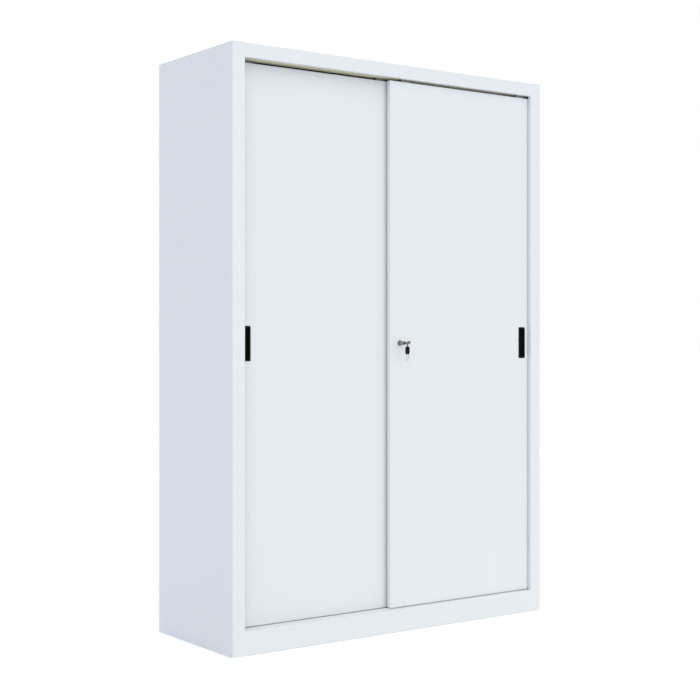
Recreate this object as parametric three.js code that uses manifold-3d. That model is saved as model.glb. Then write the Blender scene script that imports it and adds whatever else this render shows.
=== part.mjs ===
import * as THREE from 'three';
import { mergeVertices } from 'three/addons/utils/BufferGeometryUtils.js';
import Module from 'manifold-3d';

// A steel cabinet whose two doors slide past each other on grooved rollers.
// Millimetres: X to the right, Y from the front plane towards the back, Z up.

// Overall size
const cabinetWidth = 1200;
const cabinetDepth = 470;
const cabinetHeight = 1800;

// Sheet steel, the gap between touching pieces, and how far a cut runs past the metal
const panelSheet = 1;
const doorSheet = 1;
const seam = 0.3;
const overrun = 2;

// Rounding of the folds: the outer radius, which is also each corner's relief, and its facets
const bendRadius = 1.8;
const bendSteps = 3;

// Folded edges of the casing
const flangeWidth = 42;
const flangeReturn = 13.5;
const backFlangeWidth = 22;
const footFoldWidth = 18;
const railHeight = 42;
const railLipHeight = 12;
const topBackLipHeight = 22;
const plinthHeight = 73.5;
const plinthFootDepth = 16;
const plinthLipHeight = 14;
const floorFrontLegHeight = 34;
const floorBackLegHeight = 20;
const trackLegHeight = 16;

// Stiffening folds pressed into the back panel
const backRibCount = 4;
const backRibWidth = 34;
const backRibDepth = 3.5;

// The two doors and the room that they run in
const doorRecess = 16;
const doorThickness = 16;
const doorPassGap = 9;
const doorSideGap = 13;
const doorOverlap = 46;
const doorTopGap = 8;
const doorSkirtGap = 3;
const doorRibGap = 2;
const doorReturnWidth = 15;
const doorBackGap = 5;
const gripFingerRoom = 8;
const openDoorSideGap = 37;

// Hat section behind each door skin
const stiffenerWidth = 54;
const stiffenerLipWidth = 14;
const stiffenerDepth = 12;
const stiffenerEndGap = 40;

// Grooved rollers, their axles and forks
const rollerGrooveRadius = 10;
const rollerGrooveDepth = 3;
const rollerWidth = 8;
const rollerRimWidth = 1.6;
const rollerSideGap = 1.2;
const rollerRimGap = 0.5;
const rollerTreadGap = 0.2;
const rollerInset = 64;
const ribWidth = 2.4;
const ribSideGap = 0.5;
const axleRadius = 3;
const axleGap = 0.1;
const forkLength = 38;
const forkTopGap = 2;
const forkShoulder = 1.5;

// Plastic blocks on top of the doors, and the double channel that holds them upright
const guideLength = 34;
const guideShoulder = 6;
const guideSideGap = 1.5;
const guideRise = 21;
const guideSeatHeight = 20;
const channelWall = 1.5;
const channelGap = 16;
const channelHeight = 27;

// Recessed finger grips
const gripWidth = 28;
const gripHeight = 105;
const gripCornerRadius = 4;
const gripRimWidth = 3.6;
const gripRimProud = 1.5;
const gripWall = 1.4;
const gripDepth = 11.5;
const gripInset = 70;
const gripCentreHeight = 917;

// Push lock near the right door's free edge
const lockInset = 38.5;
const lockHeight = 917;
const bezelRadius = 9.5;
const bezelProud = 1.8;
const lockBodyRadius = 7.8;
const lockBoreGap = 0.3;
const barrelRadius = 6;
const barrelReach = 26;
const barrelTail = 6;
const boltRadius = 3.5;
const nutRadius = 12;
const nutSides = 6;
const nutThickness = 4;
const plugRadius = 4;
const plugGap = 0.15;
const plugLength = 17;

// Catch plate on the left door's face, which the pressed lock's bolt enters
const catchWidth = 14;
const catchHeight = 34;
const catchThickness = 5.5;
const catchSlotWidth = 10;
const catchSlotHeight = 14;

// Key: a blade in the plug with a small head, and a bow that folds down below it
const keyThickness = 2;
const keyHeight = 6.4;
const keyInsert = 14;
const keyNeckLength = 16.5;
const keySlotGap = 0.2;
const keyHeadLength = 13.5;
const keyHeadHeight = 10;
const keyHeadCorner = 3;
const keyHeadHoleRadius = 1.8;
const hingeInset = 15;
const hingeDrop = 13;
const hingeRadius = 1.6;
const hingePlay = 0.2;
const lugRadius = 3.4;
const bowWidth = 18.5;
const bowLength = 25;
const bowThickness = 5;
const bowTopRise = 2.6;
const bowSlotGap = 0.35;
const bowSlotDepth = 10.5;
const bowEyeRadius = 3;
const bowEyeDrop = 7.5;

// Slotted uprights, shelves and the clips that carry them
const uprightWidth = 24;
const uprightDepth = 10;
const uprightLipWidth = 7;
const uprightFrontInset = 22;
const uprightBackInset = 36;
const uprightTopGap = 20;
const slotPitch = 50;
const slotWidth = 14;
const slotHeight = 9;
const slotEndGap = 40;
const shelfCount = 3;
const shelfThickness = 28;
const shelfReturnWidth = 16;
const shelfEndGap = 1;
const shelfBackGap = 4;
const clipSheet = 1.5;
const clipWidth = 18;
const clipTongueLength = 14;
const clipDrop = 12;
const clipRise = 9;
const clipHookDrop = 5;
const clipSideGap = 1;

// Rubber buffers for the closed doors, and blocks on the track that stop them when open
const bufferRadius = 7;
const bufferCentreHeight = 640;
const stopLength = 18;
const stopHeight = 17;
const stopSideGap = 2;

// How finely round pieces are faceted
const roundSides = 32;
const smallRoundSides = 20;
const arcSteps = 4;

// Places worked out from the sizes above
const halfWidth = cabinetWidth / 2;
const insideHalf = halfWidth - panelSheet - seam;
const frameHalf = halfWidth - flangeWidth;
const railBottom = cabinetHeight - railHeight;
const trackBack = doorRecess + 2 * doorThickness + doorPassGap + doorBackGap;
const backPanelFront = cabinetDepth - 2 * panelSheet - seam;
const ribHeight = rollerGrooveDepth + rollerRimGap - rollerTreadGap;
const ribTop = plinthHeight + ribHeight;
const rollerRimRadius = rollerGrooveRadius + rollerGrooveDepth;
const rollerHeight = ribTop + rollerTreadGap + rollerGrooveRadius;
const doorWidth = halfWidth - doorSideGap + doorOverlap / 2;
const leftDoorTravel = halfWidth - gripInset - gripWidth / 2 - doorOverlap / 2 - gripFingerRoom;
const rightDoorTravel = halfWidth - doorOverlap / 2 - openDoorSideGap;
const doorTop = railBottom - doorTopGap;
const doorSkirtBottom = plinthHeight + doorSkirtGap;
const doorShelfBottom = ribTop + doorRibGap;
const doorShelfTop = doorShelfBottom + doorSheet;
const innerHalf = doorThickness / 2 - doorSheet;
const lockX = lockInset - doorOverlap / 2;
const barrelFront = doorRecess - barrelReach;
const boltTip = doorRecess + doorThickness;
const keyNeckEnd = barrelFront - keyNeckLength;
const keyEnd = keyNeckEnd - keyHeadLength;
const hingeY = keyEnd + hingeInset;
const hingeZ = lockHeight - hingeDrop;
const keyReach = Math.max(bowWidth / 2 - hingeY, -keyEnd);
const uprightLength = railBottom - uprightTopGap - plinthHeight - seam;
const uprightFace = insideHalf - uprightDepth;
const slotCount = Math.floor((uprightLength - 2 * slotEndGap) / slotPitch) + 1;

const wasm = await Module();
wasm.setup();

// Solids and meshes
function solidFrom(geometry) {
  geometry.deleteAttribute('normal');
  geometry.deleteAttribute('uv');
  const merged = mergeVertices(geometry);
  const corners = merged.index.array;
  const kept = [];
  for (let i = 0; i < corners.length; i += 3) {
    const [a, b, c] = corners.slice(i, i + 3);
    if (a !== b && b !== c && c !== a) kept.push(a, b, c);
  }
  const vertProperties = merged.attributes.position.array;
  const triVerts = new Uint32Array(kept);
  return new wasm.Manifold(new wasm.Mesh({ numProp: 3, vertProperties, triVerts }));
}

function geometryFrom(solid) {
  const { vertProperties, triVerts } = solid.getMesh();
  const geometry = new THREE.BufferGeometry();
  geometry.setAttribute('position', new THREE.BufferAttribute(vertProperties, 3));
  geometry.setIndex(new THREE.BufferAttribute(triVerts, 1));
  geometry.computeVertexNormals();
  return geometry;
}

function span(a, b) {
  return a < b ? [a, b] : [b, a];
}

function around(centre, half) {
  return [centre - half, centre + half];
}

function block(x, y, z) {
  const geometry = new THREE.BoxGeometry(x[1] - x[0], y[1] - y[0], z[1] - z[0]);
  geometry.translate((x[0] + x[1]) / 2, (y[0] + y[1]) / 2, (z[0] + z[1]) / 2);
  return solidFrom(geometry);
}

function shapeFrom(outline) {
  return new THREE.Shape(outline.map(([u, v]) => new THREE.Vector2(u, v)));
}

function roundedShape(width, height, radius) {
  const right = width / 2 - radius;
  const top = height / 2 - radius;
  const shape = new THREE.Shape();
  shape.absarc(right, top, radius, 0, Math.PI / 2);
  shape.absarc(-right, top, radius, Math.PI / 2, Math.PI);
  shape.absarc(-right, -top, radius, Math.PI, 1.5 * Math.PI);
  shape.absarc(right, -top, radius, 1.5 * Math.PI, 2 * Math.PI);
  return shape;
}

// An outline in X and Y pulled up along Z
function pulledUp(shape, z) {
  const settings = { depth: z[1] - z[0], bevelEnabled: false, curveSegments: arcSteps };
  const geometry = new THREE.ExtrudeGeometry(shape, settings);
  geometry.translate(0, 0, z[0]);
  return solidFrom(geometry);
}

// An outline in Y and Z pulled along X
function pulledAcross(shape, x) {
  const settings = { depth: x[1] - x[0], bevelEnabled: false, curveSegments: arcSteps };
  const geometry = new THREE.ExtrudeGeometry(shape, settings);
  const turn = new THREE.Matrix4().set(0, 0, 1, x[0], 1, 0, 0, 0, 0, 1, 0, 0, 0, 0, 0, 1);
  geometry.applyMatrix4(turn);
  return solidFrom(geometry);
}

// An outline in X and Z pulled along Y
function pulledBack(shape, y) {
  const settings = { depth: y[1] - y[0], bevelEnabled: false, curveSegments: arcSteps };
  const geometry = new THREE.ExtrudeGeometry(shape, settings);
  const turn = new THREE.Matrix4().set(1, 0, 0, 0, 0, 0, -1, y[1], 0, 1, 0, 0, 0, 0, 0, 1);
  geometry.applyMatrix4(turn);
  return solidFrom(geometry);
}

function rodAlongY(radius, y, sides) {
  const geometry = new THREE.CylinderGeometry(radius, radius, y[1] - y[0], sides);
  geometry.translate(0, (y[0] + y[1]) / 2, 0);
  return solidFrom(geometry);
}

function rodAlongX(radius, x, sides) {
  const geometry = new THREE.CylinderGeometry(radius, radius, x[1] - x[0], sides);
  geometry.rotateZ(-Math.PI / 2);
  geometry.translate((x[0] + x[1]) / 2, 0, 0);
  return solidFrom(geometry);
}

// A closed profile of radius and Y turned about the Y axis
function turned(profile, sides) {
  const points = [...profile, profile[0]].map(([radius, y]) => new THREE.Vector2(radius, y));
  return solidFrom(new THREE.LatheGeometry(points, sides));
}

// One rounded corner of a folded sheet, on the face that lies on the path or on the other one
function bend(corner, before, after, depth, tight) {
  const turn = before[0] * after[1] - before[1] * after[0];
  const radius = turn > 0 ? bendRadius - depth : tight + depth;
  const reach = turn > 0 ? bendRadius : -tight;
  const normals = [before, after].map(([x, y]) => new THREE.Vector2(-y, x));
  const centre = new THREE.Vector2(...corner).addScaledVector(normals[0], reach);
  centre.addScaledVector(normals[1], reach);
  const first = normals[0].clone().multiplyScalar(-turn).angle();
  const points = [];
  for (let i = 0; i <= bendSteps; i += 1) {
    const angle = first + (turn * i * Math.PI) / (2 * bendSteps);
    points.push([centre.x + radius * Math.cos(angle), centre.y + radius * Math.sin(angle)]);
  }
  return points;
}

// The outline of a sheet folded square along a path, with its thickness to the path's left
function folded(path, sheet) {
  const steps = path.slice(1).map(([x, y], i) => [
    Math.sign(x - path[i][0]),
    Math.sign(y - path[i][1]),
  ]);
  const face = (depth) => {
    const end = ([x, y], [dx, dy]) => [[x - dy * depth, y + dx * depth]];
    return path.flatMap((corner, i) => {
      if (i === 0) return end(corner, steps[0]);
      if (i === steps.length) return end(corner, steps[i - 1]);
      return bend(corner, steps[i - 1], steps[i], depth, bendRadius - sheet);
    });
  };
  return shapeFrom([...face(0), ...face(sheet).reverse()]);
}

// The same fold with its thickness to the path's right
function foldedRight(path, sheet) {
  return folded([...path].reverse(), sheet);
}

function mirroredShape(shape, side) {
  return shapeFrom(shape.getPoints().map(({ x, y }) => [side * x, y]));
}

// Finishes
const whitePaint = () => finish(0xe6ecef, 0.42, 0);
const shadedPaint = () => finish(0xdfe4e6, 0.5, 0);
const beigePlastic = () => finish(0xe6e1cc, 0.5, 0);
const zincSteel = () => finish(0xaeb2b5, 0.38, 0.8);
const chrome = () => finish(0xc4c6c8, 0.15, 1);
const nickel = () => finish(0xa9a598, 0.3, 1);
const whiteNylon = () => finish(0xe9e6dc, 0.5, 0);
const greyNylon = () => finish(0x7d7c78, 0.55, 0);
const blackPlastic = () => finish(0x0c0c0d, 0.45, 0);
const greyRubber = () => finish(0x3c3d3e, 0.85, 0);

function finish(color, roughness, metalness) {
  return new THREE.MeshStandardMaterial({ color, roughness, metalness });
}

const cabinet = new THREE.Group();
cabinet.position.y = (keyReach - cabinetDepth) / 2;

function place(name, solid, material) {
  const mesh = new THREE.Mesh(geometryFrom(solid), material);
  mesh.name = name;
  cabinet.add(mesh);
  return mesh;
}

// Casing
function sidePanel(side) {
  const path = [
    [frameHalf, flangeReturn],
    [frameHalf, 0],
    [halfWidth, 0],
    [halfWidth, cabinetDepth],
    [halfWidth - backFlangeWidth, cabinetDepth],
  ];
  const section = mirroredShape(folded(path, panelSheet), side);
  const wall = pulledUp(section, [0, cabinetHeight - panelSheet - seam]);
  const foot = block(
    span(side * (halfWidth - footFoldWidth), side * (halfWidth - panelSheet / 2)),
    [panelSheet / 2, cabinetDepth - panelSheet / 2],
    [0, panelSheet],
  );
  return wall.add(foot);
}

function topPanel() {
  const outline = roundedShape(cabinetWidth, cabinetDepth, bendRadius);
  const top = pulledUp(outline, [cabinetHeight - panelSheet, cabinetHeight]);
  const frontPath = [
    [flangeReturn, railBottom + railLipHeight],
    [flangeReturn, railBottom],
    [0, railBottom],
    [0, cabinetHeight],
  ];
  const front = pulledAcross(foldedRight(frontPath, panelSheet), around(0, frameHalf - seam));
  const backLip = block(
    around(0, halfWidth - backFlangeWidth - seam),
    [cabinetDepth - panelSheet, cabinetDepth],
    [cabinetHeight - topBackLipHeight, cabinetHeight],
  );
  return top.translate([0, cabinetDepth / 2, 0]).add(front).add(backLip);
}

function plinth() {
  const path = [
    [plinthFootDepth, 0],
    [0, 0],
    [0, plinthHeight],
    [flangeReturn, plinthHeight],
    [flangeReturn, plinthHeight - plinthLipHeight],
  ];
  return pulledAcross(foldedRight(path, panelSheet), around(0, frameHalf - seam));
}

function floorPanel() {
  const front = trackBack + seam;
  const back = backPanelFront - backRibDepth - seam;
  const path = [
    [front, plinthHeight - floorFrontLegHeight],
    [front, plinthHeight],
    [back, plinthHeight],
    [back, plinthHeight - floorBackLegHeight],
  ];
  return pulledAcross(foldedRight(path, panelSheet), around(0, insideHalf));
}

function backPanel() {
  const front = backPanelFront;
  const pitch = (2 * insideHalf) / backRibCount;
  const path = [[-insideHalf, front]];
  for (let i = 0; i < backRibCount; i += 1) {
    const centre = -insideHalf + (i + 0.5) * pitch;
    path.push([centre - backRibWidth / 2, front]);
    path.push([centre - backRibWidth / 2, front - backRibDepth]);
    path.push([centre + backRibWidth / 2, front - backRibDepth]);
    path.push([centre + backRibWidth / 2, front]);
  }
  path.push([insideHalf, front]);
  return pulledUp(folded(path, panelSheet), [
    panelSheet + seam,
    cabinetHeight - panelSheet - seam,
  ]);
}

// Track and top channel
function doorMiddle(layer) {
  return doorRecess + doorThickness / 2 + layer * (doorThickness + doorPassGap);
}

function bottomTrack() {
  const front = flangeReturn + seam;
  const legBottom = plinthHeight - trackLegHeight;
  const path = [
    [front, legBottom],
    [front, plinthHeight],
    [trackBack, plinthHeight],
    [trackBack, legBottom],
  ];
  let track = pulledAcross(foldedRight(path, panelSheet), around(0, insideHalf));
  for (const layer of [0, 1]) {
    const rib = block(
      around(0, insideHalf),
      around(doorMiddle(layer), ribWidth / 2),
      [plinthHeight - panelSheet, ribTop],
    );
    track = track.add(rib);
  }
  return track;
}

function topChannel() {
  const web = railBottom + channelHeight;
  const first = doorMiddle(0) - channelGap / 2 - channelWall;
  const last = doorMiddle(1) + channelGap / 2 + channelWall;
  let channel = block(around(0, insideHalf), [first, last], [web - channelWall, web]);
  for (const layer of [0, 1]) {
    for (const side of [-1, 1]) {
      const wall = doorMiddle(layer) + side * (channelGap / 2);
      const fin = block(
        around(0, insideHalf),
        span(wall, wall + side * channelWall),
        [railBottom, web],
      );
      channel = channel.add(fin);
    }
  }
  return channel;
}

// Uprights, clips and shelves
const uprightPlaces = {
  front: trackBack + uprightFrontInset,
  back: backPanelFront - backRibDepth - uprightBackInset,
};
const uprightBottom = plinthHeight + seam;

function slotBottom(index) {
  return uprightBottom + slotEndGap + index * slotPitch;
}

function upright(side, middle) {
  const half = uprightWidth / 2;
  const path = [
    [insideHalf, middle - half - uprightLipWidth],
    [insideHalf, middle - half],
    [uprightFace + panelSheet, middle - half],
    [uprightFace + panelSheet, middle + half],
    [insideHalf, middle + half],
    [insideHalf, middle + half + uprightLipWidth],
  ];
  const section = mirroredShape(folded(path, panelSheet), side);
  let post = pulledUp(section, [uprightBottom, uprightBottom + uprightLength]);
  for (let i = 0; i < slotCount; i += 1) {
    const slot = block(
      span(side * (uprightFace - overrun), side * (uprightFace + panelSheet + overrun)),
      around(middle, slotWidth / 2),
      [slotBottom(i), slotBottom(i) + slotHeight],
    );
    post = post.subtract(slot);
  }
  return post;
}

// The slot nearest to an even spacing of the shelves
function shelfSlot(level) {
  const spacing = (railBottom - plinthHeight) / (shelfCount + 1);
  const wanted = plinthHeight + level * spacing;
  return slotBottom(Math.round((wanted - slotBottom(0)) / slotPitch));
}

function shelfClip(side, middle, level) {
  const slot = shelfSlot(level);
  const tabHalf = slotWidth / 2 - clipSideGap;
  const plateOuter = uprightFace - seam;
  const plateInner = plateOuter - clipSheet;
  const hookInner = uprightFace + panelSheet + seam;
  const hookOuter = hookInner + clipSheet;
  const tabSpan = [slot + seam, slot + seam + clipSheet];
  const plate = block(
    span(side * plateInner, side * plateOuter),
    around(middle, clipWidth / 2),
    [slot - clipDrop, slot + clipRise],
  );
  const tongue = block(
    span(side * (plateInner - clipTongueLength), side * plateOuter),
    around(middle, clipWidth / 2),
    [slot - clipDrop, slot - clipDrop + clipSheet],
  );
  const tab = block(
    span(side * plateInner, side * hookOuter),
    around(middle, tabHalf),
    tabSpan,
  );
  const hook = block(
    span(side * hookInner, side * hookOuter),
    around(middle, tabHalf),
    [slot - clipHookDrop, tabSpan[1]],
  );
  return plate.add(tongue).add(tab).add(hook);
}

function shelf(level) {
  const half = uprightFace - seam - clipSheet - shelfEndGap;
  const front = trackBack + seam;
  const back = backPanelFront - backRibDepth - shelfBackGap;
  const bottom = shelfSlot(level) - clipDrop + clipSheet + seam;
  const top = bottom + shelfThickness;
  const path = [
    [front + shelfReturnWidth, bottom],
    [front, bottom],
    [front, top],
    [back, top],
    [back, bottom],
    [back - shelfReturnWidth, bottom],
  ];
  let tray = pulledAcross(foldedRight(path, panelSheet), [-half, half]);
  const between = [front + bendRadius, back - bendRadius];
  for (const side of [-1, 1]) {
    const end = block(
      span(side * half, side * (half - panelSheet)),
      between,
      [bottom, top - panelSheet / 2],
    );
    const lip = block(
      span(side * half, side * (half - shelfReturnWidth)),
      between,
      [bottom, bottom + panelSheet],
    );
    tray = tray.add(end).add(lip);
  }
  return tray;
}

// Doors: side -1 is the left, inner one and 1 the right, outer one
function doorLayer(side) {
  return side < 0 ? 1 : 0;
}

function doorFace(side) {
  return doorMiddle(doorLayer(side)) - doorThickness / 2;
}

function doorSpan(side) {
  const outer = side * (halfWidth - doorSideGap);
  return span(outer, outer - side * doorWidth);
}

function rollerPlaces(side) {
  const [left, right] = doorSpan(side);
  return [left + rollerInset, right - rollerInset];
}

function gripX(side) {
  return side * (halfWidth - gripInset);
}

function gripPocketShape(extra) {
  const width = gripWidth - 2 * gripRimWidth + 2 * extra;
  const height = gripHeight - 2 * gripRimWidth + 2 * extra;
  return roundedShape(width, height, gripCornerRadius - gripWall + extra);
}

function doorShell(side) {
  const [left, right] = doorSpan(side);
  const face = doorFace(side);
  const back = face + doorThickness;
  const middle = doorMiddle(doorLayer(side));
  const path = [
    [right - doorReturnWidth, back],
    [right, back],
    [right, face],
    [left, face],
    [left, back],
    [left + doorReturnWidth, back],
  ];
  const outline = foldedRight(path, doorSheet);
  let shell = pulledUp(outline, [doorSkirtBottom, doorTop]);
  const across = [left + bendRadius, right - bendRadius];
  const ends = [
    [doorShelfBottom, doorShelfTop, doorShelfBottom + doorReturnWidth],
    [doorTop - doorSheet, doorTop, doorTop - doorReturnWidth],
  ];
  for (const [low, high, lip] of ends) {
    const wall = block(across, [face + doorSheet / 2, back], [low, high]);
    const backLip = block(across, [back - doorSheet, back], span(lip, lip > high ? low : high));
    shell = shell.add(wall).add(backLip);
  }
  const underside = block(
    [left - overrun, right + overrun],
    [face + doorSheet, back + overrun],
    [doorSkirtBottom - overrun, doorShelfBottom],
  );
  shell = shell.subtract(underside);
  for (const x of rollerPlaces(side)) {
    const rollerHole = block(
      around(x, rollerRimRadius + rollerSideGap),
      around(middle, rollerWidth / 2 + rollerSideGap),
      [doorShelfBottom - overrun, doorShelfTop + overrun],
    );
    const guideHole = block(
      around(x, guideLength / 2 + seam),
      around(middle, innerHalf - seam),
      [doorTop - doorSheet - overrun, doorTop + overrun],
    );
    shell = shell.subtract(rollerHole).subtract(guideHole);
  }
  const pocket = pulledBack(gripPocketShape(seam), [face - overrun, face + doorSheet + overrun]);
  return shell.subtract(pocket.translate([gripX(side), 0, gripCentreHeight]));
}

function rightDoorShell() {
  const hole = rodAlongY(
    lockBodyRadius + seam,
    [doorRecess - overrun, doorRecess + doorSheet + overrun],
    roundSides,
  );
  return doorShell(1).subtract(hole.translate([lockX, 0, lockHeight]));
}

function stiffener(side) {
  const [left, right] = doorSpan(side);
  const centre = (left + right) / 2;
  const skin = doorFace(side) + doorSheet + seam;
  const half = stiffenerWidth / 2;
  const crown = half - stiffenerLipWidth;
  const path = [
    [centre - half, skin],
    [centre - crown, skin],
    [centre - crown, skin + stiffenerDepth],
    [centre + crown, skin + stiffenerDepth],
    [centre + crown, skin],
    [centre + half, skin],
  ];
  return pulledUp(folded(path, doorSheet), [
    doorShelfTop + stiffenerEndGap,
    doorTop - stiffenerEndGap,
  ]);
}

function grip(side) {
  const face = doorFace(side);
  const rimShape = roundedShape(gripWidth, gripHeight, gripCornerRadius);
  const rim = pulledBack(rimShape, [face - gripRimProud, face - seam]);
  const body = pulledBack(gripPocketShape(0), [face - gripRimProud, face + gripDepth + gripWall]);
  const hollow = pulledBack(gripPocketShape(-gripWall), [face - gripRimProud - overrun, face + gripDepth]);
  return rim.add(body).subtract(hollow).translate([gripX(side), 0, gripCentreHeight]);
}

function roller(side, x) {
  const half = rollerWidth / 2;
  const rim = half - rollerRimWidth;
  const floor = ribWidth / 2 + ribSideGap;
  const bore = axleRadius + axleGap;
  const profile = [
    [bore, -half],
    [rollerRimRadius, -half],
    [rollerRimRadius, -rim],
    [rollerGrooveRadius, -floor],
    [rollerGrooveRadius, floor],
    [rollerRimRadius, rim],
    [rollerRimRadius, half],
    [bore, half],
  ];
  return turned(profile, roundSides).translate([x, doorMiddle(doorLayer(side)), rollerHeight]);
}

function rollerAxle(side, x) {
  const length = around(doorMiddle(doorLayer(side)), innerHalf - seam);
  return rodAlongY(axleRadius, length, roundSides).translate([x, 0, rollerHeight]);
}

function rollerFork(side, x) {
  const middle = doorMiddle(doorLayer(side));
  const top = rollerHeight + rollerRimRadius + forkTopGap + forkShoulder;
  const outer = block(
    around(x, forkLength / 2),
    around(middle, innerHalf - seam),
    [doorShelfTop + seam, top],
  );
  const throat = block(
    around(x, forkLength / 2 + overrun),
    around(middle, rollerWidth / 2 + rollerSideGap),
    [doorShelfTop - overrun, top - forkShoulder],
  );
  const bore = rodAlongY(
    axleRadius + axleGap,
    around(middle, innerHalf + overrun),
    roundSides,
  );
  return outer.subtract(throat).subtract(bore.translate([x, 0, rollerHeight]));
}

function topGuide(side, x) {
  const middle = doorMiddle(doorLayer(side));
  const seatTop = doorTop - doorSheet - seam;
  const seat = block(
    around(x, guideLength / 2 + guideShoulder),
    around(middle, innerHalf - seam),
    [seatTop - guideSeatHeight, seatTop],
  );
  const head = block(
    around(x, guideLength / 2),
    around(middle, channelGap / 2 - guideSideGap - seam),
    [seatTop - guideSeatHeight, doorTop + guideRise],
  );
  return seat.add(head);
}

// Lock, catch plate and key
function lockHousing() {
  const bore = barrelRadius + lockBoreGap;
  const back = boltTip - seam;
  const profile = [
    [bore, doorRecess - bezelProud],
    [bezelRadius, doorRecess - bezelProud],
    [bezelRadius, doorRecess - seam],
    [lockBodyRadius, doorRecess - seam],
    [lockBodyRadius, back],
    [bore, back],
  ];
  return turned(profile, roundSides).translate([lockX, 0, lockHeight]);
}

function lockNut() {
  const front = doorRecess + doorSheet + seam;
  const nut = rodAlongY(nutRadius, [front, front + nutThickness], nutSides);
  const bore = rodAlongY(
    lockBodyRadius + seam,
    [front - overrun, front + nutThickness + overrun],
    roundSides,
  );
  return nut.subtract(bore).translate([lockX, 0, lockHeight]);
}

function lockBarrel() {
  const tail = doorRecess + barrelTail;
  const barrel = rodAlongY(barrelRadius, [barrelFront, tail], roundSides);
  const bolt = rodAlongY(boltRadius, [barrelFront + plugLength, boltTip], smallRoundSides);
  const seat = rodAlongY(
    plugRadius + plugGap,
    [barrelFront - overrun, barrelFront + plugLength + seam],
    roundSides,
  );
  return barrel.subtract(seat).add(bolt.trimByPlane([0, 1, 0], barrelFront + plugLength + seam));
}

function lockPlug() {
  const back = barrelFront + plugLength;
  const plug = rodAlongY(plugRadius, [barrelFront, back], roundSides);
  const keyway = block(
    around(0, keyThickness / 2 + keySlotGap),
    [barrelFront - overrun, barrelFront + keyInsert + keySlotGap],
    around(0, keyHeight / 2 + keySlotGap),
  );
  return plug.subtract(keyway);
}

function keyHead() {
  const corner = Math.min(keyHeadCorner, keyHeadLength / 2 - keyHeadHoleRadius);
  const shape = roundedShape(keyHeadLength, keyHeadHeight, Math.min(corner, keyHeadHeight / 3));
  const hole = rodAlongX(
    keyHeadHoleRadius,
    around(0, keyThickness / 2 + overrun),
    smallRoundSides,
  );
  const plate = pulledAcross(shape, around(0, keyThickness / 2)).subtract(hole);
  return plate.translate([0, keyEnd + keyHeadLength / 2, (keyHeadHeight - keyHeight) / 2]);
}

function keyBlade() {
  const blade = block(
    around(0, keyThickness / 2),
    [keyNeckEnd - keyHeadLength / 4, barrelFront + keyInsert],
    around(0, keyHeight / 2),
  );
  const lug = rodAlongX(lugRadius, around(0, keyThickness / 2), smallRoundSides);
  const web = block(
    around(0, keyThickness / 2),
    around(hingeY, lugRadius),
    [-hingeDrop, 0],
  );
  const bore = rodAlongX(
    hingeRadius + hingePlay,
    around(0, keyThickness / 2 + overrun),
    smallRoundSides,
  );
  const arm = web.add(lug.translate([0, hingeY, -hingeDrop]));
  return blade.add(keyHead()).add(arm).subtract(bore.translate([0, hingeY, -hingeDrop]));
}

function keyBow() {
  const shape = roundedShape(bowWidth, bowLength, bowWidth / 2 - bowTopRise);
  const body = pulledAcross(shape, around(0, bowThickness / 2));
  const top = hingeZ + bowTopRise;
  const centre = top - bowLength / 2;
  const slot = block(
    around(0, keyThickness / 2 + bowSlotGap),
    around(0, bowWidth / 2 + overrun),
    [top - bowSlotDepth, top + overrun],
  );
  const eye = rodAlongX(bowEyeRadius, around(0, bowThickness / 2 + overrun), smallRoundSides);
  const pin = rodAlongX(hingeRadius, around(0, bowThickness / 2), smallRoundSides);
  const plate = body.translate([0, 0, centre]).subtract(slot);
  const holed = plate.subtract(eye.translate([0, 0, centre - bowEyeDrop]));
  return holed.add(pin.translate([0, 0, hingeZ])).translate([lockX, hingeY, 0]);
}

function catchPlate() {
  const back = doorFace(-1) - seam;
  const front = back - catchThickness;
  const plate = block(around(lockX, catchWidth / 2), [front, back], around(lockHeight, catchHeight / 2));
  const slot = block(
    around(lockX, catchSlotWidth / 2),
    [front - overrun, back + overrun],
    around(lockHeight, catchSlotHeight / 2),
  );
  return plate.subtract(slot);
}

// Buffers and stops
function closedBuffer(side) {
  const wall = side * insideHalf;
  const edge = side * (halfWidth - doorSideGap + seam);
  const buffer = rodAlongX(bufferRadius, span(wall, edge), smallRoundSides);
  return buffer.translate([0, doorMiddle(doorLayer(side)), bufferCentreHeight]);
}

function openStop(side) {
  const travel = side < 0 ? leftDoorTravel : rightDoorTravel;
  const edge = -side * (doorOverlap / 2 + travel + seam);
  const middle = doorMiddle(doorLayer(side));
  const body = block(
    span(edge, edge - side * stopLength),
    around(middle, doorThickness / 2 - stopSideGap),
    [plinthHeight + seam, plinthHeight + stopHeight],
  );
  const groove = block(
    span(edge + side * overrun, edge - side * (stopLength + overrun)),
    around(middle, ribWidth / 2 + seam),
    [plinthHeight, ribTop + seam],
  );
  return body.subtract(groove);
}

// Assembly
const sides = { left: -1, right: 1 };

for (const [word, side] of Object.entries(sides)) {
  place(`${word}_side_panel`, sidePanel(side), whitePaint());
}
place('top_panel', topPanel(), whitePaint());
place('back_panel', backPanel(), shadedPaint());
place('floor_panel', floorPanel(), whitePaint());
place('plinth', plinth(), whitePaint());
place('bottom_track', bottomTrack(), whitePaint());
place('top_channel', topChannel(), beigePlastic());

for (const [word, side] of Object.entries(sides)) {
  for (const [where, middle] of Object.entries(uprightPlaces)) {
    place(`${word}_${where}_upright`, upright(side, middle), zincSteel());
    for (let level = 1; level <= shelfCount; level += 1) {
      place(`${word}_${where}_clip_${level}`, shelfClip(side, middle, level), zincSteel());
    }
  }
}
for (let level = 1; level <= shelfCount; level += 1) {
  place(`shelf_${level}`, shelf(level), whitePaint());
}

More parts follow.
